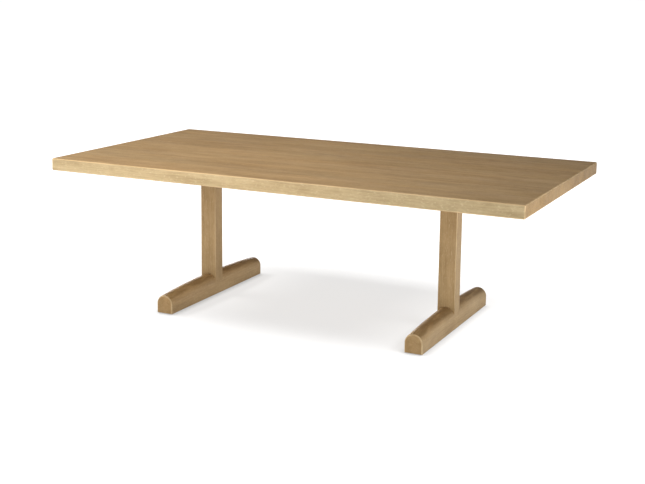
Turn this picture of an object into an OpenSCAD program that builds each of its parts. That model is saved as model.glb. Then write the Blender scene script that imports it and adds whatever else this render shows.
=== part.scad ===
// Low trestle table: a solid glued-board top on two inverted-T legs.
// Frame: origin on the floor under the centre of the top, +X along the length, +Z up.

/* [Top] */
// Length of the top, along X
top_length = 1372; // [1300:2:1500]
// Width of the top, along Y
top_width = 714; // [686:7:770]
// Thickness of the top
top_thickness = 35; // [32:1:40]
// Height of the top face above the floor
table_height = 438; // [400:1:480]
// Radius of the eased edges of the top
top_edge_radius = 4; // [2:0.5:6]

/* [Legs] */
// Distance from the middle of the table to the middle of each leg
leg_offset = 379; // [340:1:400]
// Width of post and foot, along X
leg_width = 50; // [48:1:56]
// Depth of each post, along Y
post_depth = 42; // [40:1:50]
// Radius of the eased upright edges of the posts
post_edge_radius = 2.5; // [1:0.5:4]

/* [Feet] */
// Length of each foot, along Y
foot_length = 518; // [500:2:560]
// Height of the rounded ridge at the ends of a foot
foot_end_height = 54; // [52:0.5:58]
// Height of the rounded ridge under the post
foot_ridge_height = 64.5; // [63:0.5:70]

/* [Bearers] */
// Length of the bearer under the top, along Y
bearer_length = 420; // [410:2:460]
// Width of the bearer, along X
bearer_width = 96; // [92:1:110]
// Thickness of the bearer in its middle
bearer_thickness = 26; // [24:1:30]
// Thickness left at the ends of the bearer
bearer_end_thickness = 14; // [12:1:16]
// Length of the tapered stretch at each end
bearer_taper = 80; // [60:1:90]

/* [Glides] */
// Distance from the end of a foot to the middle of its glide
glide_inset = 34; // [30:1:60]
// Diameter of the nylon pad
glide_diameter = 24; // [20:1:26]
// How far the pad stands below the foot when it is screwed right in
glide_proud = 2; // [1.5:0.5:3]

/* [Hidden] */
board_count = 7;
board_width = top_width / board_count;
top_underside = table_height - top_thickness;
bearer_underside = top_underside - bearer_thickness;
arc_steps = 5;
past = 1;
glue_gap = 0.15;

// The ridge of a foot is an arc of a circle in the YZ plane
foot_half = foot_length / 2;
ridge_rise = foot_ridge_height - foot_end_height;
ridge_radius = (foot_half * foot_half + ridge_rise * ridge_rise) / (2 * ridge_rise);
ridge_steps = 14;
round_steps = 24;
foot_edge_radius = 4;
foot_edge_steps = 3;

// Stub tenon at the bottom of each post
tenon_x = 24;
tenon_y = 32;
tenon_end = 32.5;
mortise_end = 32;

// M8 bolt, washer and threaded insert that draw a post onto its foot and its bearer
bolt_radius = 4;
bolt_length = 45;
bolt_head_radius = 6.5;
bolt_head_height = 8;
bolt_socket = 6.9;
bolt_socket_depth = 4;
washer_radius = 8.5;
washer_thickness = 1.6;
bolt_hole_radius = 4.5;
bolt_pocket_radius = 10;
foot_pocket_depth = 14;
bearer_pocket_depth = 10;
insert_radius = 6;
insert_length = 25;
thread_clearance = 0.05;

// Two dowels stop the post turning on its bearer
dowel_radius = 4;
dowel_length = 38;
dowel_offset = 16;
dowel_in_bearer = 14;

// M6 bolts from the bearer into the top, the outer pairs in slots
top_bolt_x = 35;
top_bolt_y = [-185, 0, 185];
top_bolt_radius = 3;
top_bolt_length = 34;
top_bolt_head_radius = 5.25;
top_bolt_head_height = 3.3;
top_bolt_socket = 4.6;
top_bolt_socket_depth = 2;
top_washer_radius = 7;
top_washer_thickness = 1.2;
top_seat_thickness = 13;
top_pocket_radius = 8;
slot_half_length = 3;
top_insert_radius = 5;
top_insert_length = 18;
top_insert_hole_depth = 22;

// Levelling glide: M8 stud moulded into a nylon pad, in a flanged socket
glide_y = foot_half - glide_inset;
pad_height = 5.5;
pad_chamfer = 1.5;
pad_pocket_radius = glide_diameter / 2 + 1.5;
stud_length = 24;
stud_flange_radius = 8;
stud_flange_height = 1.5;
stud_flange_bottom = 2;
socket_bottom = 6;
socket_length = 20;
socket_radius = 6;
stud_hole_top = 40;

wood_colour = [0.74, 0.62, 0.45];
leg_colour = [0.62, 0.50, 0.34];
steel_colour = [0.62, 0.63, 0.65];
zinc_colour = [0.72, 0.70, 0.62];
nylon_colour = [0.16, 0.15, 0.14];

// Points of a quarter arc, from start_angle to start_angle + 90
function quarter(centre, radius, start_angle) =
    [for (i = [0:arc_steps])
        let (a = start_angle + 90 * i / arc_steps)
        [centre[0] + radius * cos(a), centre[1] + radius * sin(a)]];

// Outline of a rectangle centred on the origin, with rounded corners
function rounded_outline(w, h, r) =
    concat(quarter([w / 2 - r, h / 2 - r], r, 0),
           quarter([-w / 2 + r, h / 2 - r], r, 90),
           quarter([-w / 2 + r, -h / 2 + r], r, 180),
           quarter([w / 2 - r, -h / 2 + r], r, 270));

module at_leg(side) {
    translate([side * leg_offset, 0, 0]) children();
}

module disc(radius, bottom, top, sides = 48) {
    translate([0, 0, bottom]) cylinder(r = radius, h = top - bottom, $fn = sides);
}

module tube(outer, inner, bottom, top) {
    difference() {
        disc(outer, bottom, top);
        disc(inner, bottom - past, top + past);
    }
}

// Socket-head screw standing on its head, with the shank along +Z
module socket_screw(shank_r, shank_l, head_r, head_h, socket, socket_depth) {
    difference() {
        union() {
            disc(head_r, 0, head_h);
            disc(shank_r, 0, head_h + shank_l);
        }
        disc(socket / 2, -past, socket_depth, 6);
    }
}

module at_top_bolts() {
    for (x = [-top_bolt_x, top_bolt_x], y = top_bolt_y) translate([x, y, 0]) children();
}

// ---- Top ----

// The whole top as one eased block
module top_block() {
    translate([0, 0, top_underside + top_thickness / 2]) intersection() {
        linear_extrude(height = top_thickness, center = true)
            polygon(rounded_outline(top_length, top_width, top_edge_radius));
        rotate([90, 0, 0]) linear_extrude(height = top_width, center = true)
            polygon(rounded_outline(top_length, top_thickness, top_edge_radius));
        rotate([90, 0, 90]) linear_extrude(height = top_length, center = true)
            polygon(rounded_outline(top_width, top_thickness, top_edge_radius));
    }
}

// Board number i, counted from the front, with blind holes for the inserts it holds
module board(i) {
    color(wood_colour) difference() {
        intersection() {
            top_block();
            translate([-top_length / 2 - past, -top_width / 2 + (i - 1) * board_width, top_underside])
                cube([top_length + 2 * past, board_width, top_thickness]);
        }
        for (side = [-1, 1]) at_leg(side) at_top_bolts()
            disc(top_insert_radius, top_underside - past, top_underside + top_insert_hole_depth);
    }
}

// ---- Leg woodwork, built at X = 0 ----

// Height of the ridge at distance y from the middle of the foot
function ridge_height(y) = foot_ridge_height - ridge_radius + sqrt(ridge_radius * ridge_radius - y * y);

// Section of the foot at y, drawn in by inset: a half round standing on straight sides
function foot_ring(y, inset) =
    let (r = leg_width / 2 - inset, z = ridge_height(y) - leg_width / 2)
    concat([for (i = [0:round_steps])
               [r * cos(180 * i / round_steps), y, z + r * sin(180 * i / round_steps)]],
           [[-r, y, glide_proud], [r, y, glide_proud]]);

// [y, inset] of each section along one end, where the edge is eased, and along the ridge
foot_end_stations = [for (i = [0:foot_edge_steps - 1])
    let (a = 90 - 90 * i / foot_edge_steps)
    [foot_half - foot_edge_radius * (1 - sin(a)), foot_edge_radius * (1 - cos(a))]];
foot_ridge_stations = [for (i = [0:ridge_steps])
    [(foot_half - foot_edge_radius) * (2 * i / ridge_steps - 1), 0]];

// Foot without any holes: flat sides, a full round along the top and an arched ridge
module foot_blank() {
    last = foot_edge_steps - 1;
    stations = concat([for (i = [0:last]) [-foot_end_stations[i][0], foot_end_stations[i][1]]],
                      foot_ridge_stations,
                      [for (i = [last:-1:0]) foot_end_stations[i]]);
    rings = [for (s = stations) foot_ring(s[0], s[1])];
    n = len(rings[0]);
    m = len(rings);
    polyhedron(
        points = [for (ring = rings, p = ring) p],
        faces = concat([[for (j = [n - 1:-1:0]) j]],
                       [for (i = [0:m - 2], j = [0:n - 1])
                           let (k = (j + 1) % n)
                           [i * n + j, i * n + k, (i + 1) * n + k, (i + 1) * n + j]],
                       [[for (j = [0:n - 1]) (m - 1) * n + j]]));
}

module foot() {
    color(leg_colour) difference() {
        foot_blank();
        translate([-tenon_x / 2, -tenon_y / 2, mortise_end])
            cube([tenon_x, tenon_y, foot_ridge_height]);
        disc(bolt_hole_radius, 0, mortise_end + past);
        disc(bolt_pocket_radius, 0, glide_proud + foot_pocket_depth);
        for (y = [-glide_y, glide_y]) translate([0, y, 0]) {
            disc(pad_pocket_radius, 0, socket_bottom);
            disc(socket_radius, 0, socket_bottom + socket_length);
            disc(bolt_hole_radius, 0, stud_hole_top);
        }
    }
}

// Post with its shoulder scribed over the round of the foot
module post() {
    color(leg_colour) difference() {
        union() {
            difference() {
                translate([0, 0, tenon_end]) linear_extrude(height = bearer_underside - tenon_end)
                    polygon(rounded_outline(leg_width, post_depth, post_edge_radius));
                foot_blank();
            }
            translate([-tenon_x / 2 + glue_gap, -tenon_y / 2 + glue_gap, tenon_end])
                cube([tenon_x - 2 * glue_gap, tenon_y - 2 * glue_gap, foot_ridge_height - tenon_end + past]);
        }
        disc(insert_radius, tenon_end - past, tenon_end + insert_length);
        disc(bolt_hole_radius, tenon_end, tenon_end + insert_length + 15);
        disc(insert_radius, bearer_underside - insert_length, bearer_underside + past);
        disc(bolt_hole_radius, bearer_underside - insert_length - 15, bearer_underside);
        for (x = [-dowel_offset, dowel_offset]) translate([x, 0, 0])
            disc(dowel_radius, bearer_underside + dowel_in_bearer - dowel_length, bearer_underside + past);
    }
}

module slot(radius, half_length, bottom, top) {
    for (y = [-half_length, half_length]) translate([0, y, 0]) disc(radius, bottom, top);
    translate([-radius, -half_length, bottom]) cube([2 * radius, 2 * half_length, top - bottom]);
}

// Bearer, tapered on its underside towards both ends
module bearer() {
    half = bearer_length / 2;
    thin = bearer_thickness - bearer_end_thickness;
    clear_radius = top_bolt_radius + 0.5;
    color(leg_colour) difference() {
        translate([0, 0, bearer_underside]) rotate([90, 0, 90])
            linear_extrude(height = bearer_width, center = true)
            polygon([[-half, bearer_thickness], [-half, thin], [-half + bearer_taper, 0],
                     [half - bearer_taper, 0], [half, thin], [half, bearer_thickness]]);
        disc(bolt_pocket_radius, top_underside - bearer_pocket_depth, top_underside + past);
        disc(bolt_hole_radius, bearer_underside - past, top_underside);
        for (x = [-dowel_offset, dowel_offset]) translate([x, 0, 0])
            disc(dowel_radius, bearer_underside - past, bearer_underside + dowel_in_bearer);
        for (x = [-top_bolt_x, top_bolt_x], y = top_bolt_y) translate([x, y, 0]) {
            slot(clear_radius, y == 0 ? 0.01 : slot_half_length, bearer_underside - past, top_underside + past);
            slot(top_pocket_radius, y == 0 ? 0.01 : slot_half_length, bearer_underside - past,
                 top_underside - top_seat_thickness);
        }
    }
}

// ---- Leg hardware, built at X = 0 ----

module post_bolts() {
    color(steel_colour) {
        translate([0, 0, glide_proud + foot_pocket_depth - washer_thickness - bolt_head_height])
            socket_screw(bolt_radius, bolt_length, bolt_head_radius, bolt_head_height,
                         bolt_socket, bolt_socket_depth);
        translate([0, 0, top_underside - bearer_pocket_depth + washer_thickness + bolt_head_height])
            mirror([0, 0, 1])
            socket_screw(bolt_radius, bolt_length, bolt_head_radius, bolt_head_height,
                         bolt_socket, bolt_socket_depth);
    }
}

module post_washers() {
    foot_seat = glide_proud + foot_pocket_depth;
    bearer_seat = top_underside - bearer_pocket_depth;
    inner = bolt_radius + 0.2;
    color(zinc_colour) {
        tube(washer_radius, inner, foot_seat - washer_thickness, foot_seat);
        tube(washer_radius, inner, bearer_seat, bearer_seat + washer_thickness);
    }
}

module post_inserts() {
    inner = bolt_radius + thread_clearance;
    color(zinc_colour) {
        tube(insert_radius, inner, tenon_end, tenon_end + insert_length);
        tube(insert_radius, inner, bearer_underside - insert_length, bearer_underside);
    }
}

module post_dowels() {
    top = bearer_underside + dowel_in_bearer;
    color(wood_colour) for (x = [-dowel_offset, dowel_offset]) translate([x, 0, 0])
        disc(dowel_radius, top - dowel_length, top);
}

module top_bolts() {
    seat = top_underside - top_seat_thickness;
    color(steel_colour) at_top_bolts()
        translate([0, 0, seat - top_washer_thickness - top_bolt_head_height])
        socket_screw(top_bolt_radius, top_bolt_length, top_bolt_head_radius, top_bolt_head_height,
                     top_bolt_socket, top_bolt_socket_depth);
}

module top_washers() {
    seat = top_underside - top_seat_thickness;
    color(zinc_colour) at_top_bolts()
        tube(top_washer_radius, top_bolt_radius + 0.2, seat - top_washer_thickness, seat);
}

module top_inserts() {
    color(zinc_colour) at_top_bolts()
        tube(top_insert_radius, top_bolt_radius + thread_clearance, top_underside,
             top_underside + top_insert_length);
}

module glide_sockets() {
    color(zinc_colour) for (y = [-glide_y, glide_y]) translate([0, y, 0])
        tube(socket_radius, bolt_radius + thread_clearance, socket_bottom, socket_bottom + socket_length);
}

// ---- Levelling glides, front is -1 and back is 1 ----

module at_glide(side, end) {
    at_leg(side) translate([0, end * glide_y, 0]) children();
}

module glide_stud() {
    color(steel_colour) {
        disc(stud_flange_radius, stud_flange_bottom, stud_flange_bottom + stud_flange_height);
        disc(bolt_radius, stud_flange_bottom, stud_flange_bottom + stud_flange_height + stud_length);
    }
}

module glide_pad() {
    outer = glide_diameter / 2;
    flange_top = stud_flange_bottom + stud_flange_height;
    color(nylon_colour) rotate_extrude($fn = 64)
        polygon([[0, 0], [outer - pad_chamfer, 0], [outer, pad_chamfer], [outer, pad_height],
                 [bolt_radius, pad_height], [bolt_radius, flange_top], [stud_flange_radius, flange_top],
                 [stud_flange_radius, stud_flange_bottom], [0, stud_flange_bottom]]);
}

board(1);  // top_board_1
board(2);  // top_board_2
board(3);  // top_board_3
board(4);  // top_board_4
board(5);  // top_board_5
board(6);  // top_board_6
board(7);  // top_board_7
at_leg(-1) bearer();  // left_bearer
at_leg(-1) post();  // left_post
at_leg(-1) foot();  // left_foot
at_leg(-1) post_bolts();  // left_post_bolts
at_leg(-1) post_washers();  // left_post_washers
at_leg(-1) post_inserts();  // left_post_inserts
at_leg(-1) post_dowels();  // left_post_dowels
at_leg(-1) top_bolts();  // left_top_bolts
at_leg(-1) top_washers();  // left_top_washers
at_leg(-1) top_inserts();  // left_top_inserts
at_leg(-1) glide_sockets();  // left_glide_sockets
at_leg(1) bearer();  // right_bearer
at_leg(1) post();  // right_post
at_leg(1) foot();  // right_foot
at_leg(1) post_bolts();  // right_post_bolts
at_leg(1) post_washers();  // right_post_washers
at_leg(1) post_inserts();  // right_post_inserts
at_leg(1) post_dowels();  // right_post_dowels
at_leg(1) top_bolts();  // right_top_bolts
at_leg(1) top_washers();  // right_top_washers
at_leg(1) top_inserts();  // right_top_inserts
at_leg(1) glide_sockets();  // right_glide_sockets
at_glide(-1, -1) glide_stud();  // left_front_glide_stud
at_glide(-1, -1) glide_pad();  // left_front_glide_pad
at_glide(-1, 1) glide_stud();  // left_back_glide_stud
at_glide(-1, 1) glide_pad();  // left_back_glide_pad
at_glide(1, -1) glide_stud();  // right_front_glide_stud
at_glide(1, -1) glide_pad();  // right_front_glide_pad
at_glide(1, 1) glide_stud();  // right_back_glide_stud
at_glide(1, 1) glide_pad();  // right_back_glide_pad
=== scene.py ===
"""Low trestle table of pale timber on a plain studio floor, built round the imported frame. Metres, +Z up."""

import math
import random

import bmesh
import bpy
from mathutils import Matrix, Vector


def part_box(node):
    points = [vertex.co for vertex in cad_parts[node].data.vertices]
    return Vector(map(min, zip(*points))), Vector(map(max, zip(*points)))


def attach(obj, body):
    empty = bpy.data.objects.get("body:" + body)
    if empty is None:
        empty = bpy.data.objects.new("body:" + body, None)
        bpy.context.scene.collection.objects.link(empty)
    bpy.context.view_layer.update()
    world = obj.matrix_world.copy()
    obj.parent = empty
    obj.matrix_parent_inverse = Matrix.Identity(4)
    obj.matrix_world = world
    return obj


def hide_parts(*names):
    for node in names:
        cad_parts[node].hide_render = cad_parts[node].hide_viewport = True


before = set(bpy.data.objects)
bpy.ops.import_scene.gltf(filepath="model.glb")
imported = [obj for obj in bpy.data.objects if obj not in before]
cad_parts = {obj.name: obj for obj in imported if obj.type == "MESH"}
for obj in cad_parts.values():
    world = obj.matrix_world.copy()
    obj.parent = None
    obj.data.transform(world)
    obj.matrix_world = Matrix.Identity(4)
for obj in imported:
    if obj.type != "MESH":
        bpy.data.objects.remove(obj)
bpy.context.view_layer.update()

MM = 0.001
TINY = 0.001 * MM
SIDES = ("left", "right")
ENDS = ("front", "back")
BOARDS = [f"top_board_{i}" for i in range(1, 8)]

# Sizes of the pieces
TOP_EDGE_RADIUS = 4 * MM
POST_EDGE_RADIUS = 2.5 * MM
POST_BLANK_FROM = 36 * MM
SHOULDER_BEVEL = 1.0 * MM
FOOT_END_RADIUS = 4 * MM
FOOT_SOLE_RADIUS = 1.5 * MM
FOOT_END_HEIGHT = 54 * MM
FOOT_RIDGE_HEIGHT = 64.5 * MM
TENON_HALF_WIDTH = 12 * MM
TENON_HALF_DEPTH = 16 * MM
MORTISE_FLOOR = 32 * MM
DRAW_BOLT_RADIUS = 4.5 * MM
DRAW_BOLT_TOP = 31 * MM
COUNTERBORE_RADIUS = 10 * MM
COUNTERBORE_DEPTH = 14 * MM
PAD_CLEARANCE = 1.5 * MM
POCKET_TOP = 6 * MM
SOCKET_RADIUS = 6 * MM
SOCKET_TOP = 26 * MM
BEARER_EDGE_RADIUS = 1.5 * MM
BEARER_TAPER = 80 * MM
BEARER_RISE = 12 * MM
BEARER_HOLE_RADIUS = 3.5 * MM
BEARER_POCKET_RADIUS = 8 * MM
BEARER_SLOT_HALF = 3 * MM
WASHER_OUTER = 7 * MM
WASHER_INNER = 3.2 * MM
SCREW_SHANK = 3 * MM
SCREW_HEAD = 5.25 * MM
SCREW_HEAD_HEIGHT = 3.3 * MM
SCREW_SOCKET_ACROSS = 4.6 * MM
SCREW_SOCKET_DEPTH = 2 * MM
THREAD_PITCH = 1.25 * MM
THREAD_DEPTH = 0.65 * MM
THREAD_RADIUS = 4.0 * MM

# How finely the foot is cut, and how much of the inset at its ends also lifts its sole
FOOT_ROUND_STEPS = 32
FOOT_LENGTH_STEPS = 40
FOOT_SOLE_LIFT = 0.3

# The round of a screw's head: its height as a share of the head's, and its width as a multiple of that
SCREW_HEAD_ROUND = 0.22
SCREW_HEAD_SPREAD = 1.6

# How far a cutter stands clear of the face that it opens, and how close points are before they are joined
CUT_CLEARANCE = 5 * MM
WELD_DISTANCE = 0.005 * MM

# Timber finishes: linear colour of level faces, then its factors on upright faces and on end grain. On the
# top the upright factors paint the rim paler and greyer, a painted highlight where the front light falls
WHITE = (1.0, 1.0, 1.0)
TOP_FINISH_WITH_PAINTED_LIGHT = ((0.345, 0.218, 0.092), (1.19, 1.42, 1.80), (0.74, 0.72, 0.61))
LEG_FINISH = ((0.345, 0.237, 0.112), WHITE, (0.89, 0.83, 0.74))
DOWEL_FINISH = ((0.345, 0.237, 0.112), WHITE, WHITE)
DOWEL_TONE = 1.25
BOARD_TONES = (0.98, 1.02)

# Where a board's pith lies from its middle: this far above or below, and up to this far to either side
PITH_DEPTH = (0.03, 0.12)
PITH_ASIDE = (-0.06, 0.06)

# Axes along the grain, across it and up, for timber whose grain runs along the key
GRAIN_AXES = {"X": "XYZ", "Y": "YXZ", "Z": "ZXY"}

# Growth rings: width, how far the pith wanders, how much they wave, and how late in each the dark wood comes
RING_WIDTH = 5.5 * MM
RING_WANDER = 60 * MM
RING_WAVE = 16 * MM
RING_LATENESS = 2.5
RING_WEIGHT = -0.055

# Figure: (cycles a metre along and across the grain, detail, roughness, distortion), weight in the colour
FIGURE = {
    "cloud": ((2.2, 11, 2, 0.5, 0.0), 0.26),
    "streak": ((4.6, 44, 3, 0.55, 0.5), 0.36),
    "fine": ((15, 165, 3, 0.6, 0.0), 0.17),
    "mottle": ((34, 46, 3, 0.6, 0.0), 0.16),
    "fibre": ((26, 720, 2, 0.6, 0.0), 0.10),
}
FIGURE_RANGE = (0.39, 0.61)
DARK_FIGURE = (0.78, 0.75, 0.69)
LIGHT_FIGURE = (1.19, 1.22, 1.29)
WARM_CAST = (1.035, 0.985, 0.93)

# Patches: noise as in the figure, then the two values of it that fade to 0 and 1, or to the next two numbers
WARM_PATCHES = ((1.6, 7, 2), (0.35, 0.65))
PORE_PATCHES = ((75, 1500, 1), (0.64, 0.74))
FLECK_PATCHES = ((120, 330, 1, 0.4), (0.60, 0.72))
PAINTED_CROWN_SHADE_STREAKS = ((12, 60, 3, 0.6), (0.34, 0.52))
RUBBED_AND_HIGHLIT_PATCHES = ((8, 60, 3), (0.30, 0.56, 0.35, 1.0))
GLOSS_PATCHES = ((5, 12, 3, 0.6), (0.3, 0.7, 0.50, 0.62))

# Marks on the timber: how strongly each one covers the colour, and its factors of the stain. The crown and
# corner marks are painted shade; the rubbed edges are worn lacquer with a painted highlight
PORES = (0.38, (0.42, 0.34, 0.26))
FLECKS = (0.42, (1.4, 1.5, 1.7))
# Painted shade along the upward side of a foot's crown
CROWN_PAINTED_SHADE = (0.50, (0.42, 0.35, 0.27))
# Rubbed edges: lacquer worn thin on the arrises, painted lighter and greyer as a painted highlight
RUBBED_EDGES_AND_PAINTED_HIGHLIGHT = (0.62, (1.80, 2.00, 2.50))
# Painted shade in the inner corners, found by ambient occlusion
CORNER_PAINTED_SHADE = (0.40, (0.45, 0.38, 0.30))
CORNER_SHADE_REACH = 9 * MM
CORNER_SHADE_FADE = (0.75, 0.25)

# Parts of a surface's normal between which a mask fades in: level faces (the others take the painted upright
# light), end grain, edges that turn away from a flat, edges round the end of a half-round piece, and the side
# of a foot's ridge a little to +X that gets painted shade
LEVEL_TO_PAINTED_UPRIGHT_FADE = (0.45, 0.90)
END_GRAIN_FADE = (0.55, 0.95)
FLAT_FADE = (0.99, 0.93)
ROUND_END_FADE = (0.15, 0.35)
PAINTED_CROWN_SHADE_FACING = (0.35, 0.94)
PAINTED_CROWN_SHADE_FADE = (0.80, 0.93)

# Heights over which the rubbed edges of a post, with their painted highlight, fade in above its scribed
# shoulder
SHOULDER_FADE = (FOOT_RIDGE_HEIGHT + 2 * MM, FOOT_RIDGE_HEIGHT + 30 * MM)

# Lacquer, what pores and rubbed edges add to its roughness, and the relief that the timber leaves in it
LACQUER_IOR = 1.45
LACQUER_SPECULAR = 0.35
PORE_ROUGHNESS = 0.15
RUBBED_ROUGHNESS = -0.08
FIBRE_RELIEF = 0.35
PORE_RELIEF = -0.9
RING_RELIEF = 0.12
TIMBER_BUMP = (0.35, 0.25 * MM)

# Metals: linear colour and roughness
STEEL_LOOK = ((0.50, 0.50, 0.50), 0.34)
ZINC_LOOK = ((0.62, 0.60, 0.54), 0.38)
METAL_STAIN = (0.20, 0.17, 0.13)
METAL_EDGE = 0.6 * MM
METAL_BUMP = (0.2, 0.05 * MM)
TURNING_MARKS = 3360

# Moulded nylon
NYLON_BLACK = (0.030, 0.028, 0.026)
NYLON_SCUFFED = (0.15, 0.14, 0.125)
NYLON_EDGE = 0.8 * MM
NYLON_SCUFF_TOP = 1.2 * MM
NYLON_BUMP = (0.25, 0.05 * MM)
NYLON_GRAIN = 2600

# Camera: turned left of +Y and tilted down, with a little roll and a small vertical shift of the lens
CAMERA_AT = (1.421, -2.935, 0.967)
CAMERA_YAW = math.radians(26.0)
CAMERA_PITCH = math.radians(10.11)
CAMERA_ROLL = math.radians(0.64)
CAMERA_LENS = 65.1
CAMERA_SENSOR = 36.0
CAMERA_SHIFT = -0.099

# Softboxes that light the table and not the floor: name, place, size and watts. They face TABLE_AIM.
STUDIO_LIGHTS = (
    ("key_low", (-0.50, -1.1, 0.74), (1.0, 0.3), 4.4),
    ("key_high", (-1.0, -1.8, 1.9), (1.0, 1.0), 10.0),
    ("overhead_front", (-0.3, -0.6, 1.8), (1.2, 0.6), 14.0),
    ("overhead", (-0.5, 0.0, 2.2), (1.5, 1.0), 8.0),
    ("left", (-2.2, 0.0, 0.8), (1.0, 1.0), 20.0),
    ("right_low", (1.15, -0.3, 0.3), (0.4, 0.4), 2.2),
    ("right", (2.0, -0.3, 0.6), (0.8, 0.8), 2.0),
    ("back", (-1.3, 1.5, 0.20), (0.9, 0.3), 11.0),
)
TABLE_AIM = (0.0, 0.0, 0.3)

# Softboxes that light the floor alone, one on each side, and cast the table's soft shadow
FLOOR_LIGHTS = (
    ("floor_left", (-4.0, -0.7, 4.5)),
    ("floor_right", (4.0, -0.7, 4.5)),
)
FLOOR_LIGHT_SIZE = (2.8, 2.8)
FLOOR_LIGHT_POWER = 770

# Floor: its glow under the table and how far out that rises to 1, and the shade where something touches it
FLOOR_SIZE = 40.0
FLOOR_GREY = (0.2, 0.2, 0.2)
FLOOR_GLOW = 0.745
FLOOR_GLOW_EDGES = (1.0, 2.2)
CONTACT_REACH = 30 * MM
CONTACT_SHADE = 0.62

# Surroundings: white up to this height of the view direction, then fading to a dim ceiling
HORIZON_BAND = (0.14, 0.28)
CEILING_GLOW = 0.10


# ---------------------------------------------------------------- shader graphs


class Graph:
    """Builds a node tree with short calls. A value is a number, a tuple or an output socket."""

    def __init__(self, tree):
        self.tree = tree

    def node(self, kind, inputs=(), **props):
        made = self.tree.nodes.new(kind)
        for key, value in props.items():
            setattr(made, key, value)
        for key, value in dict(inputs).items():
            self.feed(made.inputs[key], value)
        return made

    def feed(self, socket, value):
        if isinstance(value, bpy.types.NodeSocket):
            self.tree.links.new(value, socket)
        else:
            socket.default_value = value

    def math(self, operation, a, b=0.0):
        made = self.node("ShaderNodeMath", operation=operation)
        self.feed(made.inputs[0], a)
        self.feed(made.inputs[1], b)
        return made.outputs[0]

    def add(self, a, b):
        return self.math("ADD", a, b)

    def mul(self, a, b):
        return self.math("MULTIPLY", a, b)

    def vector(self, x, y, z):
        return self.node("ShaderNodeCombineXYZ", {"X": x, "Y": y, "Z": z}).outputs[0]

    def split(self, vector):
        """{"X": socket, "Y": socket, "Z": socket} of a vector."""
        made = self.node("ShaderNodeSeparateXYZ", {"Vector": vector})
        return {axis: made.outputs[axis] for axis in "XYZ"}

    def place(self):
        """Where the surface is, in the piece's own metres."""
        return self.node("ShaderNodeTexCoord").outputs["Object"]

    def noise(self, vector, detail=2.0, roughness=0.5, scale=1.0, distortion=0.0):
        inputs = {
            "Vector": vector,
            "Scale": scale,
            "Detail": detail,
            "Roughness": roughness,
            "Distortion": distortion,
        }
        return self.node("ShaderNodeTexNoise", inputs).outputs["Fac"]

    def ramp(self, value, stops):
        made = self.node("ShaderNodeValToRGB", {"Fac": value})
        elements = made.color_ramp.elements
        while len(elements) < len(stops):
            elements.new(1.0)
        for element, (place, colour) in zip(elements, stops):
            element.position = place
            element.color = (*colour, 1.0)
        return made.outputs["Color"]

    def span(self, value, low, high, to_low=0.0, to_high=1.0):
        """Value between low and high, stretched to to_low and to_high and held at both."""
        inputs = {"Value": value, 1: low, 2: high, 3: to_low, 4: to_high}
        return self.node("ShaderNodeMapRange", inputs, clamp=True).outputs[0]

    def mix(self, fac, a, b, blend="MIX"):
        made = self.node("ShaderNodeMix", data_type="RGBA", blend_type=blend)
        self.feed(made.inputs["Factor"], fac)
        for socket, value in ((made.inputs[6], a), (made.inputs[7], b)):
            self.feed(socket, (*value, 1.0) if isinstance(value, tuple) else value)
        return made.outputs[2]

    def tinted(self, colour, factors):
        return self.mix(1.0, colour, factors, "MULTIPLY")

    def bump(self, height, strength, distance):
        inputs = {"Strength": strength, "Distance": distance, "Height": height}
        return self.node("ShaderNodeBump", inputs).outputs[0]


def new_material(name):
    """(material, graph, principled shader) of an empty material."""
    material = bpy.data.materials.new(name)
    material.use_nodes = True
    material.node_tree.nodes.clear()
    graph = Graph(material.node_tree)
    shader = graph.node("ShaderNodeBsdfPrincipled")
    output = graph.node("ShaderNodeOutputMaterial")
    graph.tree.links.new(shader.outputs[0], output.inputs["Surface"])
    return material, graph, shader


def edge_mask(g, radius):
    """1 along convex and concave edges of the geometry, 0 on its flats."""
    soft = g.node("ShaderNodeBevel", {"Radius": radius}, samples=6).outputs[0]
    hard = g.node("ShaderNodeNewGeometry").outputs["Normal"]
    dot = g.node("ShaderNodeVectorMath", operation="DOT_PRODUCT")
    g.feed(dot.inputs[0], soft)
    g.feed(dot.inputs[1], hard)
    return g.span(dot.outputs["Value"], 0.995, 0.90)


def factored(colour, factors):
    return tuple(c * f for c, f in zip(colour, factors))


# ---------------------------------------------------------------- timber material


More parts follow.
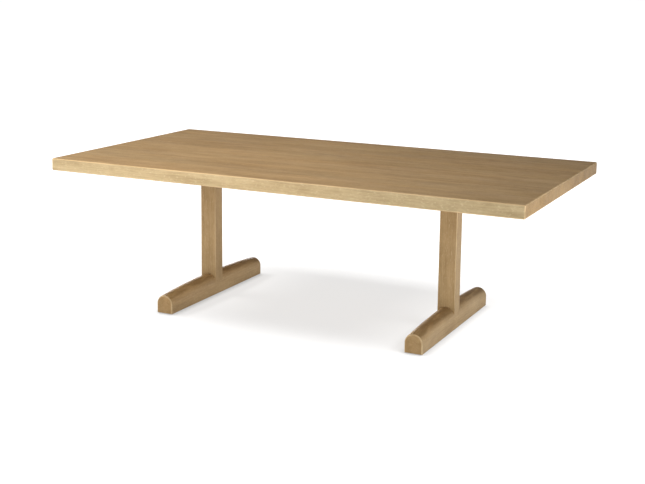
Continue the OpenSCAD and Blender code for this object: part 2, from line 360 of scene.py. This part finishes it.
class Timber:
    """Where a surface is along and across the grain, which way it faces, and noise laid along the grain."""

    def __init__(self, g, grain, pith, seed):
        shift = random.Random(seed)
        offset = shift.uniform(30, 90)
        self.g = g
        self.grain = grain
        self.offset = offset
        place = g.split(g.place())
        along, across, up = (place[axis] for axis in GRAIN_AXES[grain])
        self.height = place["Z"]
        self.along = g.add(along, shift.uniform(5, 40))
        self.across = g.add(across, offset - pith[0])
        self.up = g.add(up, -pith[1])
        self.facing = g.split(g.node("ShaderNodeNewGeometry").outputs["Normal"])

    def layer(self, run, cross, detail=2.0, roughness=0.5, distortion=0.0):
        """Noise with run cycles a metre along the grain and cross cycles a metre across it."""
        g = self.g
        vector = g.vector(g.mul(self.along, run), g.mul(self.across, cross), g.mul(self.up, cross))
        return g.noise(vector, detail, roughness, 1.0, distortion)

    def patches(self, look):
        """The noise of a look, faded between its two values."""
        shape, fade = look
        return self.g.span(self.layer(*shape), *fade)

    def rings(self):
        """0 to 1 through each growth ring, round a pith that wanders along the tree."""
        g = self.g
        wander_at = g.vector(g.mul(self.along, 1.3), 0, 0)
        wander = g.node("ShaderNodeTexNoise", {"Vector": wander_at, "Scale": 1.0, "Detail": 1.0})
        wander = g.split(wander.outputs["Color"])
        x = g.add(self.across, -self.offset)
        x = g.add(x, g.mul(g.add(wander["X"], -0.5), RING_WANDER))
        y = g.add(self.up, g.mul(g.add(wander["Y"], -0.5), RING_WANDER))
        radius = g.math("SQRT", g.add(g.mul(x, x), g.mul(y, y)))
        wave = self.layer(2.6, 19, 3, 0.55)
        radius = g.add(radius, g.mul(g.add(wave, -0.5), RING_WAVE))
        phase = g.math("FRACT", g.mul(radius, 1 / RING_WIDTH))
        return g.math("POWER", phase, RING_LATENESS)

    def arrises(self, half_round):
        """1 on rounded edges, 0 on flats. On a half-round piece only the edges round its ends count.

        An upright piece keeps none down where its shoulder is scribed over the foot."""
        g = self.g
        turned = {axis: g.math("ABSOLUTE", self.facing[axis]) for axis in "XYZ"}
        if half_round:
            along = turned[self.grain]
            return g.mul(g.span(along, *ROUND_END_FADE), g.span(along, *FLAT_FADE))
        largest = g.math("MAXIMUM", turned["X"], g.math("MAXIMUM", turned["Y"], turned["Z"]))
        mask = g.span(largest, *FLAT_FADE)
        if self.grain == "Z":
            mask = g.mul(mask, g.span(self.height, *SHOULDER_FADE))
        return mask


def mark(g, colour, mask, stain, look):
    """Covers colour with the stain, changed by the look's factors, where the mask is 1."""
    strength, factors = look
    return g.mix(g.mul(mask, strength), colour, factored(stain, factors))


def figured_colour(timber, layers, ring, pore, stain):
    """The stained colour of the broad faces: rings, figure, a warmer cast in places, pores and flecks."""
    g = timber.g
    value = g.mul(ring, RING_WEIGHT)
    for name, (_, weight) in FIGURE.items():
        value = g.add(value, g.mul(layers[name], weight))
    value = g.span(value, *FIGURE_RANGE)
    dark = factored(stain, DARK_FIGURE)
    light = factored(stain, LIGHT_FIGURE)
    colour = g.ramp(value, [(0.0, dark), (0.5, stain), (1.0, light)])
    colour = g.mix(timber.patches(WARM_PATCHES), colour, g.tinted(colour, WARM_CAST))
    colour = mark(g, colour, pore, stain, PORES)
    return mark(g, colour, timber.patches(FLECK_PATCHES), stain, FLECKS)


def upright_painted_light_and_end_grain(timber, colour, upright, end_grain):
    """Upright faces take the upright factors, which on the top paint them paler and greyer than the level
    ones as a painted highlight where the front light falls, and end grain takes up more stain.
    """
    g = timber.g
    level = g.span(g.math("ABSOLUTE", timber.facing["Z"]), *LEVEL_TO_PAINTED_UPRIGHT_FADE)
    ends = g.span(g.math("ABSOLUTE", timber.facing[timber.grain]), *END_GRAIN_FADE)
    return g.tinted(colour, g.mix(ends, g.mix(level, upright, WHITE), end_grain))


def painted_crown_shade_mask(timber):
    """Painted shade in long streaks along a rounded top, on its upward side a little to +X."""
    g = timber.g
    crown = g.add(g.mul(timber.facing["X"], PAINTED_CROWN_SHADE_FACING[0]), g.mul(timber.facing["Z"], PAINTED_CROWN_SHADE_FACING[1]))
    return g.mul(g.span(crown, *PAINTED_CROWN_SHADE_FADE), timber.patches(PAINTED_CROWN_SHADE_STREAKS))


def wood(name, grain, pith, seed, finish, tone=1.0, half_round=False):
    """Stained, satin-lacquered solid timber whose grain runs through the piece and out of its ends."""
    stain, upright, end_grain = finish
    material, g, shader = new_material(name)
    timber = Timber(g, grain, pith, seed)
    ring = timber.rings()
    layers = {part: timber.layer(*shape) for part, (shape, _) in FIGURE.items()}
    pore = timber.patches(PORE_PATCHES)
    colour = figured_colour(timber, layers, ring, pore, stain)
    # Upright faces of the top get a painted highlight: their factors paint them paler and greyer than the
    # level face
    colour = upright_painted_light_and_end_grain(timber, colour, upright, end_grain)
    # Painted shade on the crown of a half-round foot, where it faces up under the table
    if half_round:
        colour = mark(g, colour, painted_crown_shade_mask(timber), stain, CROWN_PAINTED_SHADE)

    # Lacquer is rubbed thin on the arrises, which are also painted lighter as a painted highlight, and the
    # inner corners get painted shade from ambient occlusion
    rubbed = g.mul(timber.arrises(half_round), timber.patches(RUBBED_AND_HIGHLIT_PATCHES))
    colour = mark(g, colour, rubbed, stain, RUBBED_EDGES_AND_PAINTED_HIGHLIGHT)
    occlusion_for_painted_shade = g.node("ShaderNodeAmbientOcclusion", {"Distance": CORNER_SHADE_REACH}, samples=4).outputs["AO"]
    colour = mark(g, colour, g.span(occlusion_for_painted_shade, *CORNER_SHADE_FADE), stain, CORNER_PAINTED_SHADE)
    g.feed(shader.inputs["Base Color"], g.tinted(colour, (tone, tone, tone)))

    rough = g.add(timber.patches(GLOSS_PATCHES), g.mul(pore, PORE_ROUGHNESS))
    rough = g.add(rough, g.mul(rubbed, RUBBED_ROUGHNESS))
    g.feed(shader.inputs["Roughness"], rough)
    shader.inputs["IOR"].default_value = LACQUER_IOR
    shader.inputs["Specular IOR Level"].default_value = LACQUER_SPECULAR

    height = g.add(g.mul(layers["fibre"], FIBRE_RELIEF), g.mul(pore, PORE_RELIEF))
    height = g.add(height, g.mul(ring, RING_RELIEF))
    g.feed(shader.inputs["Normal"], g.bump(height, *TIMBER_BUMP))
    return material


# ---------------------------------------------------------------- hardware materials


def metal(name, look):
    """Plated or bare steel with turning marks, a little staining and bright rubbed edges."""
    base, roughness = look
    material, g, shader = new_material(name)
    x, y, z = g.split(g.place()).values()
    marks = g.noise(g.vector(g.mul(x, 60), g.mul(y, 60), g.mul(z, TURNING_MARKS)), 2, 0.6)
    cloud = g.noise(g.vector(g.mul(x, 130), g.mul(y, 130), g.mul(z, 130)), 4, 0.6)
    stained = g.span(cloud, 0.55, 0.75)
    colour = g.mix(g.mul(stained, 0.35), base, METAL_STAIN)
    bright = tuple(min(1.0, c * 1.3) for c in base)
    colour = g.mix(g.mul(edge_mask(g, METAL_EDGE), 0.5), colour, bright)
    g.feed(shader.inputs["Base Color"], colour)
    shader.inputs["Metallic"].default_value = 1.0
    rough = g.span(marks, 0.3, 0.7, roughness - 0.06, roughness + 0.08)
    g.feed(shader.inputs["Roughness"], g.add(rough, g.mul(stained, 0.15)))
    g.feed(shader.inputs["Normal"], g.bump(marks, *METAL_BUMP))
    return material


def nylon(name):
    """Black moulded nylon with a fine matt texture, scuffed where it slides on the floor."""
    material, g, shader = new_material(name)
    place = g.place()
    grain = g.noise(place, 3, 0.6, NYLON_GRAIN)
    scuff_at = g.node("ShaderNodeMapping", {"Vector": place, "Scale": (900, 120, 400)})
    scuff = g.span(g.noise(scuff_at.outputs[0], 3, 0.6), 0.56, 0.70)
    low = g.span(g.split(place)["Z"], NYLON_SCUFF_TOP, 0.0)
    worn = g.add(g.mul(scuff, low), g.mul(edge_mask(g, NYLON_EDGE), 0.35))
    g.feed(shader.inputs["Base Color"], g.mix(worn, NYLON_BLACK, NYLON_SCUFFED))
    g.feed(shader.inputs["Roughness"], g.span(grain, 0.3, 0.7, 0.50, 0.66))
    g.feed(shader.inputs["Normal"], g.bump(grain, *NYLON_BUMP))
    return material


# ---------------------------------------------------------------- mesh helpers


def from_bmesh(name, bm, smooth_angle=30.0):
    """A scene object from bm, smooth inside smooth_angle, with its flats kept flat."""
    bmesh.ops.recalc_face_normals(bm, faces=bm.faces)
    mesh = bpy.data.meshes.new(name)
    bm.to_mesh(mesh)
    bm.free()
    piece = bpy.data.objects.new(name, mesh)
    bpy.context.scene.collection.objects.link(piece)
    shade(piece, smooth_angle)
    return piece


def shade(piece, smooth_angle=30.0):
    mesh = piece.data
    mesh.polygons.foreach_set("use_smooth", [True] * len(mesh.polygons))
    mesh.set_sharp_from_angle(angle=math.radians(smooth_angle))
    if not piece.modifiers.get("flats"):
        modifier = piece.modifiers.new("flats", "WEIGHTED_NORMAL")
        modifier.keep_sharp = True
        modifier.weight = 100


def weld(mesh):
    """Joins points that a cut left on top of each other, and drops the faces of no area between them."""
    bm = bmesh.new()
    bm.from_mesh(mesh)
    bmesh.ops.remove_doubles(bm, verts=bm.verts, dist=WELD_DISTANCE)
    bmesh.ops.dissolve_degenerate(bm, edges=bm.edges, dist=WELD_DISTANCE)
    bm.to_mesh(mesh)
    bm.free()


def cut_out(piece, other):
    """Cuts other out of piece, deletes other and keeps piece as a plain mesh."""
    piece.modifiers.clear()
    modifier = piece.modifiers.new("cut", "BOOLEAN")
    modifier.operation = "DIFFERENCE"
    modifier.solver = "EXACT"
    modifier.object = other
    depsgraph = bpy.context.evaluated_depsgraph_get()
    cut = bpy.data.meshes.new_from_object(piece.evaluated_get(depsgraph))
    piece.modifiers.clear()
    piece.data = cut
    weld(cut)
    bpy.data.objects.remove(other)
    shade(piece)


def bevel(bm, edges, radius, segments, clamp=False):
    bmesh.ops.bevel(
        bm, geom=edges, offset=radius, segments=segments, profile=0.5, affect="EDGES", clamp_overlap=clamp
    )


def bridge(bm, near, far):
    """A band of faces between two rings with the same number of points."""
    count = len(near)
    for i in range(count):
        j = (i + 1) % count
        bm.faces.new((near[i], near[j], far[j], far[i]))


def add_stack(bm, rings):
    """A closed solid through rings with the same number of points."""
    for near, far in zip(rings, rings[1:]):
        bridge(bm, near, far)
    bm.faces.new(rings[0][::-1])
    bm.faces.new(rings[-1])


def add_prism(bm, outline, low, high):
    """A closed prism over a list of (x, y), from z low to high."""
    bottom = [bm.verts.new((x, y, low)) for x, y in outline]
    top = [bm.verts.new((x, y, high)) for x, y in outline]
    bm.faces.new(bottom[::-1])
    bm.faces.new(top)
    bridge(bm, bottom, top)


def arc(first, last, steps):
    """Angles from first to last in equal steps, with both of them."""
    return [first + (last - first) * i / steps for i in range(steps + 1)]


def circle(radius, count, centre):
    turn = 2 * math.pi / count
    return [
        (centre[0] + radius * math.cos(i * turn), centre[1] + radius * math.sin(i * turn))
        for i in range(count)
    ]


def slot_outline(radius, half, centre):
    """Outline of a slot along Y, or of a round hole when half is 0."""
    points = []
    for end, start in ((half, 0.0), (-half, math.pi)):
        angles = arc(start, start + math.pi, 12)
        if half == 0:
            angles.pop()
        for a in angles:
            points.append((centre[0] + radius * math.cos(a), centre[1] + end + radius * math.sin(a)))
    return points


def cutter(outline, low, high):
    """A cutting object over a list of (x, y), from z low to high."""
    bm = bmesh.new()
    add_prism(bm, outline, low, high)
    return from_bmesh("cutter", bm)


def lathe(bm, profile, at, count=40):
    """Turns a closed profile of (radius, z) round a vertical axis through at."""
    rings = []
    for radius, z in profile:
        if radius < TINY:
            rings.append([bm.verts.new((at[0], at[1], z))])
        else:
            rings.append([bm.verts.new((x, y, z)) for x, y in circle(radius, count, at)])
    for lower, upper in zip(rings, rings[1:] + rings[:1]):
        if len(lower) == 1 and len(upper) == 1:
            continue
        for i in range(count):
            j = (i + 1) % count
            a = lower if len(lower) == 1 else [lower[i], lower[j]]
            b = upper if len(upper) == 1 else [upper[j], upper[i]]
            bm.faces.new(a + b)


def finish_piece(piece, body, material, node):
    piece.data.materials.clear()
    piece.data.materials.append(material)
    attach(piece, body)
    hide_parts(node)


# ---------------------------------------------------------------- timber pieces


def make_board(node, first, last):
    """A board with eased ends, and an eased long edge if it is the first or the last one."""
    lo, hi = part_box(node)
    bm = bmesh.new()
    bmesh.ops.create_cube(bm, size=1.0)
    bmesh.ops.scale(bm, vec=hi - lo, verts=bm.verts)
    bmesh.ops.translate(bm, vec=(lo + hi) / 2, verts=bm.verts)

    def outside(edge):
        a, b = (v.co for v in edge.verts)
        on_end = abs(a.x - b.x) < TINY
        on_front = first and max(a.y, b.y) < lo.y + TINY
        on_back = last and min(a.y, b.y) > hi.y - TINY
        along_y = abs(a.y - b.y) > 1 * MM
        return (on_end and along_y) or on_front or on_back

    bevel(bm, [e for e in bm.edges if outside(e)], TOP_EDGE_RADIUS, 6)
    return from_bmesh(node.replace("top_", "") + "_timber", bm)


def ridge_height(y, half):
    """Height of the foot's ridge, an arc that is highest in the middle and FOOT_END_HEIGHT at its ends."""
    rise = FOOT_RIDGE_HEIGHT - FOOT_END_HEIGHT
    radius = (half * half + rise * rise) / (2 * rise)
    return FOOT_RIDGE_HEIGHT - radius + math.sqrt(radius * radius - y * y)


def foot_ring(y, inset, half, width, sole):
    """Points of the foot's section at y: eased sole corners, flat sides and a half round on top."""
    r = width / 2 - inset
    crown = ridge_height(y, half) - width / 2
    ease = FOOT_SOLE_RADIUS
    low = sole + inset * FOOT_SOLE_LIFT + ease
    points = []
    for a in arc(-math.pi / 2, 0.0, 4):
        points.append((r - ease + ease * math.cos(a), low + ease * math.sin(a)))
    for a in arc(0.0, math.pi, FOOT_ROUND_STEPS):
        points.append((r * math.cos(a), crown + r * math.sin(a)))
    for a in arc(math.pi, 1.5 * math.pi, 4):
        points.append((-r + ease + ease * math.cos(a), low + ease * math.sin(a)))
    return [(x, y, z) for x, z in points]


def foot_stations(half):
    """(y, inset) of the foot's sections, front to back. Those near the ends are drawn in to round them."""
    rounded = []
    for a in arc(0.0, math.pi / 2, 6)[:-1]:
        rounded.append((-half + FOOT_END_RADIUS * (1 - math.cos(a)), FOOT_END_RADIUS * (1 - math.sin(a))))
    inner = half - FOOT_END_RADIUS
    steps = FOOT_LENGTH_STEPS
    straight = [(-inner + 2 * inner * i / steps, 0.0) for i in range(steps + 1)]
    return rounded + straight + [(-y, inset) for y, inset in rounded[::-1]]


def foot_blank(name, node):
    """The whole foot, before its holes are cut."""
    lo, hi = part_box(node)
    half = (hi.y - lo.y) / 2
    width = hi.x - lo.x
    bm = bmesh.new()
    rings = []
    for y, inset in foot_stations(half):
        rings.append([bm.verts.new(point) for point in foot_ring(y, inset, half, width, lo.z)])
    add_stack(bm, rings)
    bmesh.ops.translate(bm, vec=((lo.x + hi.x) / 2, 0, 0), verts=bm.verts)
    return from_bmesh(name, bm)


def make_foot(side):
    """The foot with its mortise, the draw bolt's bores, and a pocket and a socket for each glide."""
    node = f"{side}_foot"
    lo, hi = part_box(node)
    x = (lo.x + hi.x) / 2
    foot = foot_blank(f"{side}_foot_timber", node)
    below = lo.z - CUT_CLEARANCE
    mortise = [
        (x + i * TENON_HALF_WIDTH, j * TENON_HALF_DEPTH) for i, j in ((-1, -1), (1, -1), (1, 1), (-1, 1))
    ]
    cut_out(foot, cutter(circle(COUNTERBORE_RADIUS, 48, (x, 0.0)), below, lo.z + COUNTERBORE_DEPTH))
    bore_from = lo.z + COUNTERBORE_DEPTH - 4 * MM
    cut_out(foot, cutter(circle(DRAW_BOLT_RADIUS, 32, (x, 0.0)), bore_from, DRAW_BOLT_TOP))
    cut_out(foot, cutter(mortise, MORTISE_FLOOR, hi.z + 20 * MM))
    for end in ENDS:
        pad_lo, pad_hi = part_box(f"{side}_{end}_glide_pad")
        at = (x, (pad_lo.y + pad_hi.y) / 2)
        pocket = (pad_hi.x - pad_lo.x) / 2 + PAD_CLEARANCE
        cut_out(foot, cutter(circle(pocket, 48, at), below, POCKET_TOP))
        cut_out(foot, cutter(circle(SOCKET_RADIUS, 40, at), POCKET_TOP - 0.5 * MM, SOCKET_TOP))
    return foot


def make_post(side):
    """The post with eased edges, its shoulder scribed over the round of the foot."""
    lo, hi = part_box(f"{side}_post")
    bm = bmesh.new()
    outline = [(lo.x, lo.y), (hi.x, lo.y), (hi.x, hi.y), (lo.x, hi.y)]
    add_prism(bm, outline, POST_BLANK_FROM, hi.z)
    upright = [e for e in bm.edges if abs(e.verts[0].co.z - e.verts[1].co.z) > 100 * MM]
    bevel(bm, upright, POST_EDGE_RADIUS, 5)
    post = from_bmesh(f"{side}_post_timber", bm)
    cut_out(post, foot_blank("cutter", f"{side}_foot"))
    ease_shoulder(post, lo, hi)
    return post


def ease_shoulder(post, lo, hi):
    """A small bevel along the scribed arcs on the front and back of the post."""
    bm = bmesh.new()
    bm.from_mesh(post.data)

    def on_arc(edge):
        a, b = (v.co for v in edge.verts)
        flat = all(min(abs(p.y - lo.y), abs(p.y - hi.y)) < 0.05 * MM for p in (a, b))
        return flat and max(a.z, b.z) < FOOT_RIDGE_HEIGHT + 1 * MM and len(edge.link_faces) == 2

    arcs = [e for e in bm.edges if on_arc(e) and e.calc_face_angle(0) > math.radians(20)]
    bevel(bm, arcs, SHOULDER_BEVEL, 2, clamp=True)
    bm.to_mesh(post.data)
    bm.free()
    weld(post.data)
    shade(post)


def bearer_blank(name, lo, hi):
    """The bearer before its holes are cut, tapered underneath towards its ends, its lower edges eased."""
    outline = [
        (lo.y, hi.z),
        (lo.y, lo.z + BEARER_RISE),
        (lo.y + BEARER_TAPER, lo.z),
        (hi.y - BEARER_TAPER, lo.z),
        (hi.y, lo.z + BEARER_RISE),
        (hi.y, hi.z),
    ]
    bm = bmesh.new()
    add_prism(bm, outline, lo.x, hi.x)
    lay_down = Matrix(((0, 0, 1, 0), (1, 0, 0, 0), (0, 1, 0, 0), (0, 0, 0, 1)))
    bmesh.ops.transform(bm, matrix=lay_down, verts=bm.verts)
    lower = [e for e in bm.edges if min(v.co.z for v in e.verts) < hi.z - 1 * MM]
    bevel(bm, lower, BEARER_EDGE_RADIUS, 3)
    return from_bmesh(name, bm)


def make_bearer(side):
    """The bearer with six holes and pockets for the top's screws, slotted in the outer rows."""
    lo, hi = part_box(f"{side}_bearer")
    x = (lo.x + hi.x) / 2
    bearer = bearer_blank(f"{side}_bearer_timber", lo, hi)
    washer_lo, washer_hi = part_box(f"{side}_top_washers")
    seat = washer_hi.z
    reach_x = (washer_hi.x - washer_lo.x) / 2 - WASHER_OUTER
    reach_y = (washer_hi.y - washer_lo.y) / 2 - WASHER_OUTER
    below = lo.z - CUT_CLEARANCE
    for row in (-1, 0, 1):
        half = BEARER_SLOT_HALF if row else 0.0
        for way in (-1, 1):
            at = (x + way * reach_x, row * reach_y)
            cut_out(bearer, cutter(slot_outline(BEARER_HOLE_RADIUS, half, at), below, hi.z + CUT_CLEARANCE))
            cut_out(bearer, cutter(slot_outline(BEARER_POCKET_RADIUS, half, at), below, seat))
    return bearer


# ---------------------------------------------------------------- hardware pieces


def make_screws(name, places, bottom, top):
    """Button-head screws with a hexagon socket, standing on their heads at places, as one piece."""
    soft = SCREW_HEAD_HEIGHT * SCREW_HEAD_ROUND
    spread = SCREW_HEAD_SPREAD * soft
    shoulder = bottom + SCREW_HEAD_HEIGHT
    profile = [(0.0, bottom), (SCREW_HEAD - spread, bottom)]
    for a in arc(0.0, math.pi / 2, 5)[1:]:
        profile.append((SCREW_HEAD - spread * (1 - math.sin(a)), bottom + soft * (1 - math.cos(a))))
    profile += [
        (SCREW_HEAD, shoulder - 0.2 * MM),
        (SCREW_HEAD - 0.2 * MM, shoulder),
        (SCREW_SHANK, shoulder),
        (SCREW_SHANK, top - 0.8 * MM),
        (SCREW_SHANK - 0.8 * MM, top),
        (0.0, top),
    ]
    bm = bmesh.new()
    recess = bmesh.new()
    for at in places:
        lathe(bm, profile, at)
        socket = circle(SCREW_SOCKET_ACROSS / 2, 6, at)
        add_prism(recess, socket, bottom - 1 * MM, bottom + SCREW_SOCKET_DEPTH)
    screws = from_bmesh(name, bm)
    cut_out(screws, from_bmesh("cutter", recess))
    return screws


def make_washers(name, places, low, high):
    """Flat washers with softened edges, as one piece."""
    soft = 0.2 * MM
    profile = [
        (WASHER_INNER, low + soft),
        (WASHER_INNER + soft, low),
        (WASHER_OUTER - soft, low),
        (WASHER_OUTER, low + soft),
        (WASHER_OUTER, high - soft),
        (WASHER_OUTER - soft, high),
        (WASHER_INNER + soft, high),
        (WASHER_INNER, high - soft),
    ]
    bm = bmesh.new()
    for at in places:
        lathe(bm, profile, at)
    return from_bmesh(name, bm, 50.0)


def make_pad(name, node):
    """A round pad, hollowed underneath, with a rounded foot, a narrower rim and a recess for the stud."""
    lo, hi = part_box(node)
    outer = (hi.x - lo.x) / 2
    hollow = lo.z + 0.35 * MM
    soft = 1.5 * MM
    rim = outer - 0.4 * MM
    recess_radius = 4.1 * MM
    recess_floor = hi.z - 1.2 * MM
    profile = [(0.0, hollow), (outer * 0.45, hollow), (outer * 0.52, lo.z)]
    for a in arc(0.0, math.pi / 2, 6):
        profile.append((outer - soft + soft * math.sin(a), lo.z + soft - soft * math.cos(a)))
    profile += [
        (outer, lo.z + 3.0 * MM),
        (rim, lo.z + 3.3 * MM),
        (rim, hi.z - 0.5 * MM),
        (outer - 0.9 * MM, hi.z),
        (recess_radius, hi.z),
        (recess_radius, recess_floor),
        (0.0, recess_floor),
    ]
    bm = bmesh.new()
    lathe(bm, profile, ((lo.x + hi.x) / 2, (lo.y + hi.y) / 2), 64)
    return from_bmesh(name, bm)


def make_stud(name, node):
    """A threaded stud: a helical M8 thread that runs out at the top."""
    lo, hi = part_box(node)
    at_x = (lo.x + hi.x) / 2
    at_y = (lo.y + hi.y) / 2
    count = 28
    rows_per_pitch = 5
    start = lo.z + 2.2 * MM
    rows = int((hi.z - start) / THREAD_PITCH * rows_per_pitch)
    bm = bmesh.new()
    rings = []
    for row in range(rows + 1):
        z = start + (hi.z - start) * row / rows
        fade = min(1.0, (hi.z - z) / THREAD_PITCH)
        ring = []
        for i in range(count):
            a = 2 * math.pi * i / count
            phase = (z / THREAD_PITCH - i / count) % 1.0
            crest = 1 - abs(2 * phase - 1)
            r = THREAD_RADIUS - THREAD_DEPTH * (1 - min(1.0, 1.25 * crest) * fade)
            ring.append(bm.verts.new((at_x + r * math.cos(a), at_y + r * math.sin(a), z)))
        rings.append(ring)
    add_stack(bm, rings)
    return from_bmesh(name, bm, 40.0)


# ---------------------------------------------------------------- camera, floor and light


def make_camera():
    data = bpy.data.cameras.new("camera")
    data.lens = CAMERA_LENS
    data.sensor_width = CAMERA_SENSOR
    data.shift_y = CAMERA_SHIFT
    data.clip_start = 0.05
    data.clip_end = 100.0
    camera = bpy.data.objects.new("camera", data)
    camera.location = CAMERA_AT
    aim = Matrix.Rotation(CAMERA_YAW, 4, "Z") @ Matrix.Rotation(math.pi / 2 - CAMERA_PITCH, 4, "X")
    camera.rotation_euler = (aim @ Matrix.Rotation(CAMERA_ROLL, 4, "Z")).to_euler()
    bpy.context.scene.collection.objects.link(camera)
    bpy.context.scene.camera = camera


def make_floor():
    """A pale floor that glows a little, so that it stays clean and white round the table's soft shadow."""
    bm = bmesh.new()
    bmesh.ops.create_grid(bm, x_segments=1, y_segments=1, size=FLOOR_SIZE)
    floor = from_bmesh("floor", bm)
    material, g, shader = new_material("floor")
    shader.inputs["Base Color"].default_value = (*FLOOR_GREY, 1)
    shader.inputs["Roughness"].default_value = 0.9
    shader.inputs["Specular IOR Level"].default_value = 0.0
    shader.inputs["Emission Color"].default_value = (*WHITE, 1)
    away = g.node("ShaderNodeVectorMath", {"Vector": g.place()}, operation="LENGTH").outputs["Value"]
    glow = g.span(away, *FLOOR_GLOW_EDGES, FLOOR_GLOW, 1.0)
    open_sky = g.node("ShaderNodeAmbientOcclusion", {"Distance": CONTACT_REACH}, samples=8).outputs["AO"]
    contact = g.span(open_sky, 0.45, 0.90, CONTACT_SHADE, 1.0)
    g.feed(shader.inputs["Emission Strength"], g.mul(glow, contact))
    floor.data.materials.append(material)
    return floor


def softbox(name, at, target, size, power):
    data = bpy.data.lights.new(name, "AREA")
    data.shape = "RECTANGLE"
    data.size, data.size_y = size
    data.energy = power
    light = bpy.data.objects.new(name, data)
    light.location = at
    light.visible_camera = False
    light.rotation_euler = (Vector(target) - Vector(at)).to_track_quat("-Z", "Y").to_euler()
    bpy.context.scene.collection.objects.link(light)
    return light


def link_to_floor(light, floor, state):
    """Lights the floor alone (INCLUDE), or everything but the floor (EXCLUDE)."""
    group = bpy.data.collections.new(light.name + "_targets")
    group.objects.link(floor)
    light.light_linking.receiver_collection = group
    group.collection_objects[0].light_linking.link_state = state


def make_world():
    """A white band round the horizon, and a dim ceiling."""
    world = bpy.data.worlds.new("studio")
    world.use_nodes = True
    g = Graph(world.node_tree)
    direction = g.node("ShaderNodeTexCoord").outputs["Generated"]
    background = world.node_tree.nodes["Background"]
    background.inputs["Color"].default_value = (*WHITE, 1)
    g.feed(background.inputs["Strength"], g.span(g.split(direction)["Z"], *HORIZON_BAND, 1.0, CEILING_GLOW))
    bpy.context.scene.world = world


def make_lights(floor):
    for name, at, size, power in STUDIO_LIGHTS:
        link_to_floor(softbox(name, at, TABLE_AIM, size, power), floor, "EXCLUDE")
    for name, at in FLOOR_LIGHTS:
        light = softbox(name, at, (0, 0, 0), FLOOR_LIGHT_SIZE, FLOOR_LIGHT_POWER)
        link_to_floor(light, floor, "INCLUDE")
    bpy.context.scene.view_settings.view_transform = "Standard"


# ---------------------------------------------------------------- build


def build_top():
    """Seven boards, each from its own place in the tree and of its own tone."""
    chance = random.Random(11)
    for number, node in enumerate(BOARDS):
        lo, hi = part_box(node)
        middle = (lo + hi) / 2
        below = chance.choice((-1, 1)) * chance.uniform(*PITH_DEPTH)
        pith = (middle.y + chance.uniform(*PITH_ASIDE), middle.z + below)
        tone = chance.uniform(*BOARD_TONES)
        material = wood(f"board_wood_{number + 1}", "X", pith, 100 + number, TOP_FINISH_WITH_PAINTED_LIGHT, tone)
        board = make_board(node, number == 0, number == len(BOARDS) - 1)
        finish_piece(board, "table", material, node)


def build_leg(side):
    """The bearer, post and foot of one leg. Each pith is given across from the leg's axis, and up."""
    lo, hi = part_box(f"{side}_post")
    x = (lo.x + hi.x) / 2
    extra = 50 if side == "right" else 0
    parts = (
        ("bearer", make_bearer, "Y", (0.02, 0.34), 242),
        ("post", make_post, "Z", (0.045, 0.05), 228),
        ("foot", make_foot, "Y", (-0.03, -0.05), 228),
    )
    for kind, make, grain, pith, seed in parts:
        pith = (x + pith[0], pith[1])
        half_round = kind == "foot"
        material = wood(f"{side}_{kind}_wood", grain, pith, seed + extra, LEG_FINISH, half_round=half_round)
        finish_piece(make(side), "table", material, f"{side}_{kind}")


def build_top_fixings(side, steel, zinc):
    """The washers and screws that hold the top on one bearer."""
    lo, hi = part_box(f"{side}_top_washers")
    x = (lo.x + hi.x) / 2
    reach_x = (hi.x - lo.x) / 2 - WASHER_OUTER
    reach_y = (hi.y - lo.y) / 2 - WASHER_OUTER
    places = [(x + way * reach_x, row * reach_y) for way in (-1, 1) for row in (-1, 0, 1)]
    washers = make_washers(f"{side}_bearer_washers", places, lo.z, hi.z)
    finish_piece(washers, "table", zinc, f"{side}_top_washers")
    lo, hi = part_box(f"{side}_top_bolts")
    screws = make_screws(f"{side}_bearer_screws", places, lo.z, hi.z)
    finish_piece(screws, "table", steel, f"{side}_top_bolts")


def build_glide(glide, steel, black):
    """The pad and threaded stud of one levelling glide."""
    finish_piece(make_pad(f"{glide}_foot", f"{glide}_pad"), glide, black, f"{glide}_pad")
    finish_piece(make_stud(f"{glide}_thread", f"{glide}_stud"), glide, steel, f"{glide}_stud")


def dress_cad_nodes(side, materials):
    """Materials for the CAD nodes that are shown as they are."""
    for part, material in materials.items():
        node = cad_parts[f"{side}_{part}"]
        for material_slot in node.material_slots:
            material_slot.material = material


def build_hardware():
    steel = metal("steel", STEEL_LOOK)
    zinc = metal("zinc", ZINC_LOOK)
    black = nylon("nylon")
    dowel_wood = wood("dowel_wood", "Z", (0.0, 0.0), 400, DOWEL_FINISH, DOWEL_TONE)
    kept = {
        "post_bolts": steel,
        "post_washers": zinc,
        "post_inserts": zinc,
        "top_inserts": zinc,
        "glide_sockets": zinc,
        "post_dowels": dowel_wood,
    }
    for side in SIDES:
        build_top_fixings(side, steel, zinc)
        for end in ENDS:
            build_glide(f"{side}_{end}_glide", steel, black)
        dress_cad_nodes(side, kept)


make_camera()
floor_plane = make_floor()
make_world()
make_lights(floor_plane)
build_top()
for leg_side in SIDES:
    build_leg(leg_side)
build_hardware()
